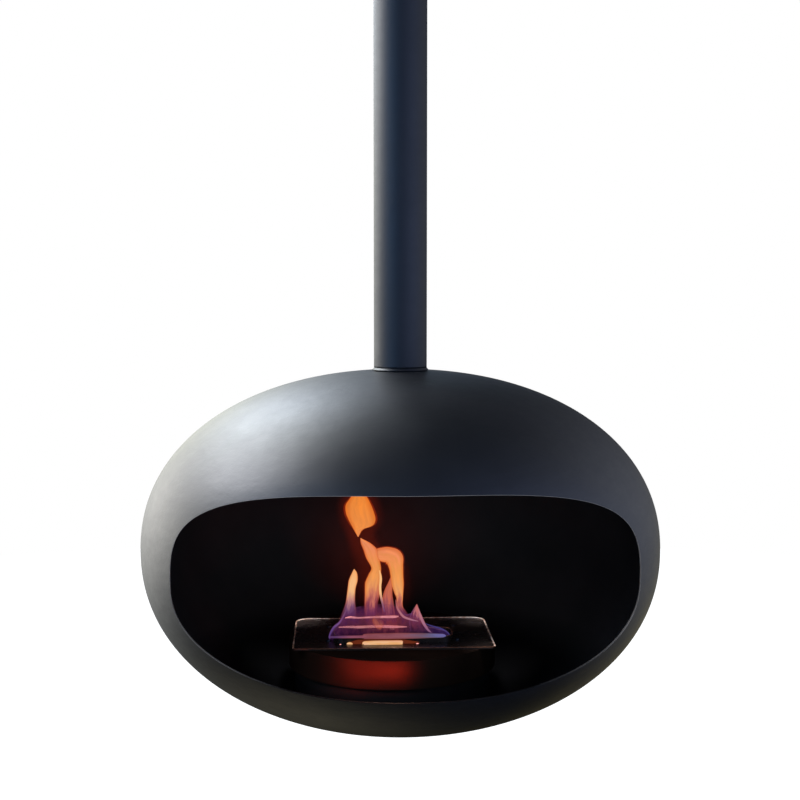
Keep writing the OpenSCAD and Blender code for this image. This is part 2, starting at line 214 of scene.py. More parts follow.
def enamel_with_edges(name):
    """Black enamel whose rim and slot collar are bare satin steel, lightened to near white as a painted
    highlight.

    The rim starts at rim_level over the deck, within rim_x and rim_y of the tray's ends, and the collar
    round the slot at collar_level.
    """
    rim_level, collar_level = 1.9 * MM, 8.2 * MM
    rim_x, rim_y = 10 * MM, 4 * MM
    mat, tree = new_material(name)
    place = object_place(tree)
    split = add(tree, "SeparateXYZ", place)
    level = maths(tree, "SUBTRACT", split.outputs["Z"], DECK)
    across = maths(tree, "ABSOLUTE", maths(tree, "SUBTRACT", split.outputs["X"], BURNER_X))
    deep = maths(tree, "ABSOLUTE", split.outputs["Y"])
    outer = maths(tree, "MAXIMUM", maths(tree, "GREATER_THAN", across, tray_high.x - BURNER_X - rim_x),
                  maths(tree, "GREATER_THAN", deep, tray_high.y - rim_y))
    rim = maths(tree, "MULTIPLY", outer, maths(tree, "GREATER_THAN", level, rim_level))
    collar = maths(tree, "GREATER_THAN", level, collar_level)
    bare = maths(tree, "MAXIMUM", rim, collar)
    stains = noise(tree, place, 30, 4)
    black = add(tree, "BsdfPrincipled", Specular_IOR_Level=0.25,
                Base_Color=ramp(tree, stains, [(0.3, (0.012, 0.01, 0.01)), (0.7, (0.023, 0.018, 0.017))]),
                Roughness=ramp(tree, stains, [(0.3, 0.22), (0.7, 0.34)]))
    # The bare steel is worn in patches, and duller by these shares on the collar, the front and the left
    wear = noise(tree, place, 160, 4)
    front = maths(tree, "LESS_THAN", split.outputs["Y"], tray_low.y + rim_y)
    left = maths(tree, "LESS_THAN", split.outputs["X"], tray_low.x + 3 * MM)
    at_ends = maths(tree, "ADD", maths(tree, "MULTIPLY", front, 0.65), maths(tree, "MULTIPLY", left, 0.2))
    dull = maths(tree, "ADD", maths(tree, "MULTIPLY", collar, 0.7), at_ends)
    worn = ramp(tree, wear, [(0.35, 0.55), (0.6, 1.0)])
    shades = maths(tree, "MULTIPLY", worn, maths(tree, "SUBTRACT", 1.0, dull))
    # Its near white end is a painted highlight along the rim and collar edges
    steel = ramp(tree, shades, [(0.0, (0.02, 0.01, 0.01)), (0.45, (0.2, 0.09, 0.05)),
                                (0.75, (0.7, 0.5, 0.42)), (1.0, (1.0, 0.92, 0.88))])
    steel_with_highlight = add(tree, "BsdfPrincipled", Base_Color=steel,
                 Roughness=ramp(tree, wear, [(0.3, 0.42), (0.7, 0.55)]))
    return finish(mat, add(tree, "MixShader", bare, black.outputs[0], steel_with_highlight.outputs[0]))


def ceramic_fibre():
    """White ceramic wool with long fibres."""
    mat, tree = new_material("ceramic_fibre")
    fibres = noise(tree, object_place(tree, (1, 3, 1)), 260, 8, 0.7)
    colour = ramp(tree, fibres, [(0.3, (0.5, 0.48, 0.44)), (0.7, (0.82, 0.8, 0.76))])
    return finish(mat, add(tree, "BsdfPrincipled", Base_Color=colour, Roughness=0.95,
                           Normal=bump(tree, fibres, 0.8, 0.6 * MM)))


def flame_material(name, colours, opacity, streak=0.3, outline=0.0, axis="Z", length=FLAME_H,
                   strength=1.0, width_tint=None, soft=False):
    """Glowing gas, and painted glints and glow. Colour and opacity follow the height over the deck, and
    streaks along the flow shift both.

    The ramps run over the length given, or on axis X over that much of the width, round the burner's middle.
    With outline set, a violet outline shows low in the flame. width_tint multiplies the colour over TINT_W of
    the width. Soft gas fades out at its outline.
    """
    mat, tree = new_material(name)
    split = add(tree, "SeparateXYZ", add(tree, "TexCoord").outputs["Object"])
    start = DECK if axis == "Z" else BURNER_X - length / 2
    rise = maths(tree, "DIVIDE", maths(tree, "SUBTRACT", split.outputs[axis], start), length)
    streaks = noise(tree, add(tree, "Attribute", attribute_name="flow").outputs["Vector"], 1.0, 5, 0.55)
    edge = add(tree, "Attribute", attribute_name="edge").outputs["Fac"]
    sway = maths(tree, "MULTIPLY", maths(tree, "SUBTRACT", streaks, 0.5), streak)
    shifted = maths(tree, "ADD", rise, sway, clamp=True)
    dim = ramp(tree, edge, [(0.55, 1.0), (1.0, (0.85, 0.62, 0.45))])
    colour = tinted(tree, 1.0, ramp(tree, shifted, colours), dim)
    if width_tint:
        from_left = maths(tree, "SUBTRACT", split.outputs["X"], BURNER_X - TINT_W / 2)
        colour = tinted(tree, 1.0, colour, ramp(tree, maths(tree, "DIVIDE", from_left, TINT_W), width_tint))
    thin = ramp(tree, shifted, opacity)
    if soft:
        thin = maths(tree, "MULTIPLY", thin, ramp(tree, edge, [(0.4, 1.0), (1.0, 0.0)], "EASE"))
    if outline:
        near = ramp(tree, edge, [(0.72, 0.0), (0.96, 1.0)])
        low = ramp(tree, rise, [(0.17, 1.0), (0.26, 0.0)])
        amount = maths(tree, "MULTIPLY", maths(tree, "MULTIPLY", near, low), outline)
        colour = tinted(tree, amount, colour, (0.25, 0.13, 0.42, 1), "MIX")
        thin = maths(tree, "ADD", thin, maths(tree, "MULTIPLY", amount, 0.4), clamp=True)
    swing = maths(tree, "MULTIPLY", streaks, 2 * streak * strength)
    glow = add(tree, "Emission", Color=colour, Strength=maths(tree, "ADD", strength * (1 - streak), swing))
    clear = add(tree, "BsdfTransparent")
    return finish(mat, add(tree, "MixShader", thin, clear.outputs[0], glow.outputs[0]))


def link_mesh(name, verts, faces, materials, face_slots=None):
    """A smooth mesh object in the scene; face_slots gives each face's place in materials."""
    mesh = bpy.data.meshes.new(name)
    mesh.from_pydata([tuple(v) for v in verts], [], faces)
    mesh.update()
    for mat in materials:
        mesh.materials.append(mat)
    if face_slots is not None:
        mesh.polygons.foreach_set("material_index", face_slots)
    mesh.polygons.foreach_set("use_smooth", [True] * len(mesh.polygons))
    obj = bpy.data.objects.new(name, mesh)
    scene.collection.objects.link(obj)
    return obj


def signed_power(v, p):
    """A power that keeps the sign."""
    return np.sign(v) * np.abs(v) ** p


def mouth_outline(count):
    """Points round the mouth, evenly spaced, as x and height above the waist."""
    turn = np.linspace(0, 2 * np.pi, 4001)[:-1]
    up = np.sin(turn) >= 0
    power = np.where(up, 2 / MOUTH_UP_FULLNESS, 2 / MOUTH_DOWN_FULLNESS)
    x = MOUTH_W / 2 * signed_power(np.cos(turn), power)
    z = np.where(up, MOUTH_UP, MOUTH_DOWN) * signed_power(np.sin(turn), power) - MOUTH_DROP
    steps = np.hypot(np.diff(x, append=x[0]), np.diff(z, append=z[0]))
    along = np.concatenate([[0], np.cumsum(steps)])
    wanted = np.linspace(0, along[-1], count, endpoint=False)
    return (np.interp(wanted, along, np.append(x, x[0])), np.interp(wanted, along, np.append(z, z[0])))


def ring_faces(rings, count, base=0):
    """Quads between closed rings of points, each ring right after the one before from place base."""
    return [(low + i, low + (i + 1) % count, low + count + (i + 1) % count, low + count + i)
            for low in range(base, base + (rings - 1) * count, count) for i in range(count)]


def on_shell(directions, inset):
    """Where directions from the centre of the waist meet the shell's outer skin, or one inset from it."""
    rho = np.hypot(directions[..., 0], directions[..., 1])
    z = directions[..., 2]
    upper = z >= 0
    height = np.where(upper, DOME_H, BOWL_H) - inset
    fullness = np.where(upper, DOME_FULLNESS, BOWL_FULLNESS)
    reach = ((rho / (RADIUS - inset)) ** fullness + (np.abs(z) / height) ** fullness) ** (-1 / fullness)
    points = directions * reach[..., None]
    points[..., 2] = np.minimum(points[..., 2], CROWN - WAIST - inset)
    return points


def front_edge(x, z, inset):
    """The point of the skin straight behind a point of the mouth's outline."""
    height = np.where(z >= 0, DOME_H, BOWL_H) - inset
    fullness = np.where(z >= 0, DOME_FULLNESS, BOWL_FULLNESS)
    rho = (RADIUS - inset) * (1 - (np.abs(z) / height) ** fullness) ** (1 / fullness)
    return np.stack([x, -np.sqrt(rho ** 2 - x ** 2), z], -1)


def skin_rings(x, z, inset, shares):
    """Rings of points from the mouth's edge round to the middle of the back."""
    edge = front_edge(x, z, inset)
    start = edge / np.linalg.norm(edge, axis=1)[:, None]
    back = np.array([0.0, 1.0, 0.0])
    angle = np.arccos(np.clip(start @ back, -1, 1))[:, None]
    rings = [edge]
    for share in shares:
        way = (np.sin((1 - share) * angle) * start + np.sin(share * angle) * back) / np.sin(angle)
        rings.append(on_shell(way, inset))
    return rings


def shell_skin(outer_mat, inner_mat, edge_mat, count=420, ring_count=150):
    """Both skins of the shell in one smooth piece, joined round the mouth by a softened sheet edge."""
    x, z = mouth_outline(count)
    close = [0.0018, 0.005, 0.01]
    even = np.linspace(0, 1, ring_count + 1)[1:-1]
    shares = np.concatenate([close, even[even > 0.014]])
    outer = skin_rings(x, z, 0.0, shares)
    inner = skin_rings(x, z, WALL, shares)
    verts = np.concatenate([*outer, [[0, RADIUS, 0]], *inner, [[0, RADIUS - WALL, 0]]])
    verts[:, 2] += WAIST
    rings = len(outer)
    inner_start = rings * count + 1
    faces, slots = [], []
    for quad in ring_faces(rings, count):
        faces += [quad, tuple(inner_start + v for v in reversed(quad))]
        slots += [0, 1]
    last = (rings - 1) * count
    for i in range(count):
        j = (i + 1) % count
        faces += [(last + i, last + j, rings * count),
                  (inner_start + last + j, inner_start + last + i, inner_start + rings * count),
                  (i, inner_start + i, inner_start + j, j)]
        slots += [0, 1, 2]
    shell = link_mesh("shell_skin", verts, faces, [outer_mat, inner_mat, edge_mat], slots)
    soften_mouth(shell, count, inner_start)
    return shell


def soften_mouth(shell, count, inner_start, width=0.5 * MM):
    """Rounds both corners of the sheet's cut edge."""
    bm = bmesh.new()
    bm.from_mesh(shell.data)
    bm.verts.ensure_lookup_table()
    rim = []
    for start in (0, inner_start):
        for i in range(count):
            a, b = bm.verts[start + i], bm.verts[start + (i + 1) % count]
            rim.append(bm.edges.get((a, b)))
    # The rounded edge takes the third finish, the painted highlight of the cut edge
    bmesh.ops.bevel(bm, geom=rim, offset=width, segments=3, profile=0.5, affect="EDGES", material=2)
    bmesh.ops.recalc_face_normals(bm, faces=bm.faces)
    for face in bm.faces:
        face.smooth = True
    bm.to_mesh(shell.data)
    bm.free()


def collar_ring(paint, count=96):
    """The collar's flared lower edge, which stands clear of the crown by a thin shadow gap.

    Its section is given in mm out from the pole's side and up from the crown.
    """
    section = [(-0.4, 3.9), (0.05, 3.9), (0.3, 3.2), (0.9, 2.4), (1.6, 1.9), (1.8, 1.6), (1.6, 1.35),
               (-0.4, 1.3)]
    turn = np.linspace(0, 2 * np.pi, count, endpoint=False)
    rings = []
    for out, up in section:
        reach, level = POLE_RADIUS + out * MM, np.full(count, CROWN + up * MM)
        rings.append(np.stack([reach * np.cos(turn), reach * np.sin(turn), level], 1))
    faces = []
    for r in range(len(section)):
        low, high = r * count, (r + 1) % len(section) * count
        faces += [(low + i, high + i, high + (i + 1) % count, low + (i + 1) % count) for i in range(count)]
    return link_mesh("collar_ring", np.concatenate(rings), faces, [paint])


def catmull(points, per_span=8):
    """A smooth Catmull-Rom curve through rows of numbers."""
    rows = np.array(points, float)
    rows = np.vstack([2 * rows[0] - rows[1], rows, 2 * rows[-1] - rows[-2]])
    out = []
    for i in range(1, len(rows) - 2):
        a, b, c, d = rows[i - 1:i + 3]
        for t in np.linspace(0, 1, per_span, endpoint=False):
            out.append(0.5 * (2 * b + (c - a) * t + (2 * a - 5 * b + 4 * c - d) * t ** 2
                              + (3 * b - a - 3 * c + d) * t ** 3))
    out.append(rows[-2])
    return np.array(out)


def add_flow(mesh, flow, edge):
    """Gives each point a place stretched along the flow, for streaks, and its nearness to the outline."""
    mesh.attributes.new("flow", "FLOAT_VECTOR", "POINT").data.foreach_set("vector", np.ravel(flow))
    mesh.attributes.new("edge", "FLOAT", "POINT").data.foreach_set("value", np.ravel(edge))


def flame_tongue(name, strand, layers, depth=0.7, around=32, back=0.0, level=True):
    """A tongue of flame: layers of one tapering tube round a strand of (x, height, half width) in mm.

    A layer is (material, scale of the width). The slices lie level, or else square to the strand. The tongue
    stands back mm behind the flame's middle, or in front of it where back is negative.
    """
    streaks_across, streaks_along = TONGUE_STREAKS
    curve = catmull(strand) * MM
    curve[:, 2] = np.maximum(curve[:, 2], 0.2 * MM)
    tangent = np.gradient(curve[:, :2], axis=0)
    tangent /= np.linalg.norm(tangent, axis=1)[:, None]
    if level:
        tangent[:] = (0, 1)
    along = np.concatenate([[0], np.cumsum(np.hypot(*np.diff(curve[:, :2], axis=0).T))])
    turns = np.linspace(0, 2 * np.pi, around, endpoint=False)
    verts, flow, edge, faces, slots = [], [], [], [], []
    for slot, (mat, scale) in enumerate(layers):
        base = len(verts)
        for (x, h, half), (tx, tz), run in zip(curve, tangent, along):
            for a in turns:
                across = math.cos(a) * half * scale
                outward = math.sin(a) * half * scale * depth
                verts.append((BURNER_X + x + tz * across, FLAME_Y + back * MM + outward,
                              DECK + h - tx * across))
                flow.append((across * streaks_across, outward * streaks_across, run * streaks_along))
                edge.append(abs(math.cos(a)))
        first, last = range(base, base + around), range(len(verts) - around, len(verts))
        added = [*ring_faces(len(curve), around, base), tuple(reversed(first)), tuple(last)]
        faces += added
        slots += [slot] * len(added)
    flame = link_mesh(name, verts, faces, [mat for mat, _ in layers], slots)
    add_flow(flame.data, flow, edge)
    return flame


def flame_bed(name, crest, mat, depth=15 * MM, around=32, floor_h=1 * MM):
    """The low flame over the whole slot, under a crest of (x, height) in mm."""
    streaks_across, streaks_along = BED_STREAKS
    line = catmull(crest, 6) * MM
    turns = np.linspace(0, 2 * np.pi, around, endpoint=False)
    verts, flow, edge = [], [], []
    for x, top in line:
        half = max(top - floor_h, 0.4 * MM) / 2
        narrow = depth * min(1.0, half / (5 * MM)) ** 0.5
        for a in turns:
            lift = floor_h + half * (1 + math.sin(a))
            back = math.cos(a) * narrow * (1 - 0.55 * max(0.0, math.sin(a)))
            verts.append((BURNER_X + x, FLAME_Y + back, DECK + lift))
            flow.append((x * streaks_across, back * streaks_across, lift * streaks_along))
            edge.append(max(0.0, math.sin(a)) ** 3)
    first, last = range(around), range(len(verts) - around, len(verts))
    faces = [*ring_faces(len(line), around), tuple(reversed(first)), tuple(last)]
    flame = link_mesh(name, verts, faces, [mat])
    add_flow(flame.data, flow, edge)
    return flame


def set_material(mat, *names):
    """Gives CAD nodes a finish."""
    for name in names:
        node = nodes[name]
        node.data.materials.clear()
        node.data.materials.append(mat)


def smooth_node(name, angle=30):
    """Smooth shading on a CAD node, with edges over the angle kept sharp."""
    mesh = nodes[name].data
    mesh.polygons.foreach_set("use_smooth", [True] * len(mesh.polygons))
    mesh.set_sharp_from_angle(angle=math.radians(angle))


def add_lamp(name, data, place):
    """A lamp that the camera doesn't see."""
    lamp = bpy.data.objects.new(name, data)
    lamp.location = place
    lamp.visible_camera = False
    scene.collection.objects.link(lamp)
    return lamp


def area_lamp(name, place, aim, size, energy, colour, spread=180):
    """A rectangular lamp turned towards its aim, which no gloss shows; spread is in degrees."""
    data = bpy.data.lights.new(name, "AREA")
    data.shape = "RECTANGLE"
    data.size, data.size_y = size
    data.energy = energy
    data.color = colour
    data.spread = math.radians(spread)
    lamp = add_lamp(name, data, place)
    lamp.visible_glossy = False
    lamp.rotation_euler = (Vector(aim) - Vector(place)).to_track_quat("-Z", "Y").to_euler()
    return lamp


def from_waist(x, y, z):
    """A place given from the centre of the shell's waist."""
    return (x, y, WAIST + z)


def place_camera():
    """The camera, fitted to the photograph's outline of the shell: 4.7 degrees down and 2.4 to the right."""
    data = bpy.data.cameras.new("camera")
    data.lens = 63
    data.sensor_width = 36
    data.clip_end = 50
    camera = bpy.data.objects.new("camera", data)
    camera.location = from_waist(-0.0707, -1.6768, 0.3123)
    camera.rotation_euler = (math.radians(90 - 4.7), 0, math.radians(-2.4))
    scene.collection.objects.link(camera)
    scene.camera = camera


# Finishes
shell_paint = powder_coat("shell_paint", (0.004, 0.005, 0.008), (0.006, 0.007, 0.01), 0.42, 0.5, 0.25,
                          dents=0.35 * MM)
pole_paint = powder_coat("pole_paint", (0.004, 0.006, 0.01), (0.006, 0.008, 0.012), 0.55, 0.47,
                         dents=0.05 * MM)
# The mouth's cut edge: light grey as a painted highlight, faded to near black toward the bottom of the mouth
painted_edge_highlight = powder_coat("painted_edge_highlight", (0.26, 0.26, 0.27), (0.34, 0.34, 0.35), 0.5, 0.15, low_share=0.02)
# Inside of the shell: from 125 to 160 mm under the waist its colour falls to a quarter, painted shade deep in
# the bowl
inner_paint = powder_coat("inner_paint", (0.027, 0.029, 0.034), (0.041, 0.043, 0.05), 0.7, 0.05, 0.3,
                          low_share=0.25, low=-160 * MM, high=-125 * MM)
# Near black with little gloss, for the collar under the flared ring: painted shade in the gap beneath it
painted_gap_shade = powder_coat("painted_gap_shade", (0.003, 0.004, 0.006), (0.004, 0.005, 0.007), 0.6, 0.1)
drum_paint = powder_coat("drum_paint", (0.012, 0.008, 0.007), (0.02, 0.013, 0.011), 0.6, 0.0, 0.3)
plate_steel = brushed_metal("plate_steel", (0.3, 0.3, 0.31), (0.42, 0.42, 0.43), 0.42, (1, 8, 1))
turned_steel = brushed_metal("turned_steel", (0.5, 0.5, 0.51), (0.62, 0.62, 0.63), 0.25, (1, 1, 30))
black_steel = brushed_metal("black_steel", (0.04, 0.04, 0.045), (0.09, 0.09, 0.095), 0.4, (1, 1, 20))
bronze = brushed_metal("bronze", (0.36, 0.2, 0.08), (0.55, 0.33, 0.14), 0.35, (1, 1, 30))
tray_enamel = enamel_with_edges("tray_enamel")
grid_steel = brushed_metal("grid_steel", (0.2, 0.16, 0.15), (0.34, 0.27, 0.22), 0.35, (20, 1, 1))
fibre = ceramic_fibre()

set_material(pole_paint, "pole", "ceiling_rose")
# The collar below the flared ring takes the painted shade
set_material(painted_gap_shade, "collar")
set_material(drum_paint, "burner_drum")
set_material(inner_paint, "plinth_ring")
set_material(plate_steel, "ceiling_plate", "head_spigot", "pole_foot", "hanger_plate")
set_material(turned_steel, "spindle", "top_nut", "clamp_nut", "bearing_lower_race", "bearing_balls",
             "bearing_upper_race", "top_washer", "clamp_washer", "split_pin")
set_material(black_steel, "head_screws", "rose_screw", "collar_screws", "rail_screws", "damper_knob")
set_material(bronze, "swivel_bush", "bearing_cage")
set_material(tray_enamel, "burner_top")
set_material(grid_steel, "burner_tank", "wool_grid", "damper_rails", "damper_plate")
set_material(fibre, "wool_block")
for node_name in nodes:
    smooth_node(node_name)

# Shell, and the edge of the collar over it
shell = shell_skin(shell_paint, inner_paint, painted_edge_highlight)
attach(shell, "fire_body")
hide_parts("upper_shell", "lower_shell")
ring = collar_ring(shell_paint)
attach(ring, "fire_body")

# Gas, and glowing painted reflections and glints: colours and opacities at shares of FLAME_H over the deck.
# LOW is the dim foot that most tongues share, BODY the opacity of a full one, and WIDTH the bed's tint at
# shares of TINT_W from its left end
LOW = [
    (0.0, (0.05, 0.008, 0.03)), (0.06, (0.08, 0.012, 0.035)), (0.1, (0.2, 0.032, 0.055)),
    (0.13, (0.24, 0.038, 0.065)), (0.16, (0.16, 0.026, 0.08)),
]
gas = LOW + [
    (0.2, (0.2, 0.04, 0.1)), (0.25, (0.33, 0.075, 0.1)), (0.3, (0.66, 0.21, 0.13)),
    (0.37, (0.9, 0.38, 0.13)), (0.46, (0.93, 0.38, 0.1)), (0.58, (0.93, 0.33, 0.11)),
    (0.66, (0.88, 0.3, 0.14)), (0.74, (0.95, 0.34, 0.08)), (1.0, (0.98, 0.31, 0.045)),
]
loop = LOW + [
    (0.2, (0.2, 0.04, 0.1)), (0.235, (0.4, 0.1, 0.1)), (0.27, (0.66, 0.21, 0.13)),
    (0.31, (0.92, 0.42, 0.15)), (0.46, (0.93, 0.38, 0.1)), (0.54, (0.93, 0.34, 0.11)),
    (0.62, (0.9, 0.3, 0.13)), (0.7, (0.95, 0.33, 0.09)),
]
pale = [
    (0.0, (0.09, 0.02, 0.08)), (0.12, (0.14, 0.03, 0.12)), (0.22, (0.2, 0.08, 0.19)),
    (0.265, (0.6, 0.27, 0.23)), (0.32, (0.98, 0.58, 0.27)), (0.4, (1.0, 0.58, 0.26)),
    (0.5, (0.98, 0.46, 0.16)),
]
BODY = [(0.0, 0.0), (0.12, 0.08), (0.2, 0.45), (0.27, 0.9), (0.31, 0.96), (1.0, 0.97)]
WIDTH = [
    (0.0, (0.5, 0.7, 1.5)), (0.12, (0.45, 0.5, 0.9)), (0.28, (0.6, 0.65, 0.9)), (0.38, (1, 1, 1)),
    (0.52, (1, 0.9, 0.9)), (0.62, (0.6, 0.7, 1.0)), (0.76, (0.42, 0.65, 1.2)), (0.88, (0.42, 1.0, 2.2)),
    (1.0, (0.4, 1.2, 2.6)),
]
gas_body = flame_material("flame_body", gas, BODY)
gas_loop = flame_material("flame_loop", loop, BODY)
# A faint red veil round the flame: painted glow standing in for the flame's red light on the wall behind
red_glow_veil = flame_material("painted_red_glow", [
    (0.0, (0.3, 0.02, 0.02)), (0.3, (0.5, 0.03, 0.005)), (1.0, (0.5, 0.03, 0.002)),
], [(0.0, 0.0), (0.2, 0.0), (0.4, 0.035), (1.0, 0.05)], streak=0.1, soft=True)
# A dim brown glow on the lip's front face either side of the bright strip: a painted reflection, not gas
lip_reflection_dim = flame_material("painted_lip_reflection_dim", [
    (0.0, (0.2, 0.035, 0.012)), (0.05, (0.14, 0.025, 0.012)),
], [(0.0, 0.45), (0.04, 0.5)], streak=0.6)
gas_pale = flame_material("flame_pale", pale, BODY, streak=0.15)
gas_thin = flame_material("flame_thin", LOW + [
    (0.22, (0.36, 0.09, 0.12)), (0.28, (0.55, 0.13, 0.09)), (0.45, (0.66, 0.17, 0.06)),
], [(0.0, 0.0), (0.12, 0.1), (0.2, 0.55), (0.3, 0.8), (0.5, 0.8)])
gas_rose = flame_material("flame_rose", LOW + [
    (0.19, (0.45, 0.14, 0.18)), (0.24, (0.55, 0.15, 0.13)),
], [(0.0, 0.0), (0.1, 0.1), (0.16, 0.6), (0.3, 0.8)], outline=0.35)
gas_veil = flame_material("flame_veil", [
    (0.0, (0.1, 0.03, 0.2)), (0.2, (0.2, 0.03, 0.08)), (0.35, (0.5, 0.05, 0.015)),
    (1.0, (0.5, 0.05, 0.008)),
], [(0.0, 0.0), (0.2, 0.05), (0.3, 0.16), (1.0, 0.22)])
gas_bed = flame_material("flame_bed", LOW + [
    (0.25, (0.2, 0.035, 0.12)),
], [
    (0.0, 0.45), (0.06, 0.5), (0.14, 0.5), (0.2, 0.3), (0.25, 0.0),
], streak=0.22, outline=0.3, width_tint=WIDTH)
gas_edge = flame_material("flame_edge", [
    (0.0, (0.1, 0.05, 0.24)), (0.1, (0.18, 0.08, 0.28)), (0.16, (0.2, 0.08, 0.2)),
    (0.25, (0.2, 0.07, 0.14)),
], [(0.0, 0.5), (0.15, 0.65), (0.24, 0.3)], streak=0.2)
gas_blush = flame_material("flame_blush", [
    (0.0, (0.2, 0.1, 0.24)), (0.08, (0.34, 0.14, 0.26)), (0.16, (0.5, 0.2, 0.25)),
    (0.24, (0.5, 0.16, 0.18)),
], [(0.0, 0.4), (0.12, 0.7), (0.24, 0.3)], streak=0.2)
gas_band = flame_material("flame_band", [
    (0.0, (0.12, 0.05, 0.16)), (0.15, (0.3, 0.09, 0.15)), (0.3, (0.25, 0.07, 0.09)),
    (0.6, (0.27, 0.09, 0.12)), (0.75, (0.16, 0.1, 0.16)), (0.85, (0.13, 0.12, 0.26)),
    (0.95, (0.16, 0.15, 0.45)),
], [(0.0, 0.5), (0.3, 0.66), (1.0, 0.7)], streak=0.4, axis="X", length=140 * MM)
gas_blue = flame_material("flame_blue", [
    (0.0, (0.05, 0.05, 0.2)), (0.1, (0.07, 0.05, 0.24)),
], [(0.0, 0.5), (0.1, 0.6)], streak=0.2)
gas_ember = flame_material("flame_ember", [
    (0.0, (0.4, 0.08, 0.05)), (0.15, (0.6, 0.15, 0.08)),
], [(0.0, 0.0), (0.06, 0.25), (0.13, 0.4), (0.17, 0.0)])
# A glowing strip on the lip's front face: a painted reflection, not gas
painted_lip_shine = flame_material("painted_lip_reflection", [
    (0.0, (1.0, 0.5, 0.2)), (0.02, (1.0, 0.6, 0.32)), (0.035, (0.95, 0.5, 0.3)),
], [(0.0, 0.9), (0.05, 0.95)], streak=0.2, strength=0.85)
# Pink glow for small glints on the lip and a lit line on the collar's edge: painted highlights, not gas
glint_and_line_glow = flame_material("painted_glint_glow", [
    (0.0, (0.8, 0.32, 0.3)), (0.08, (0.85, 0.32, 0.36)),
], [(0.0, 0.9), (0.05, 0.95)], streak=0.4, strength=2.2)
# Glow for the back rim's lit line, seen through the flame: a painted highlight, not gas
back_rim_line_glow = flame_material("painted_back_rim_glow", [
    (0.0, (0.8, 0.32, 0.3)), (0.16, (0.85, 0.32, 0.36)),
], [(0.0, 0.85), (0.16, 0.85)], streak=0.4, strength=1.1)
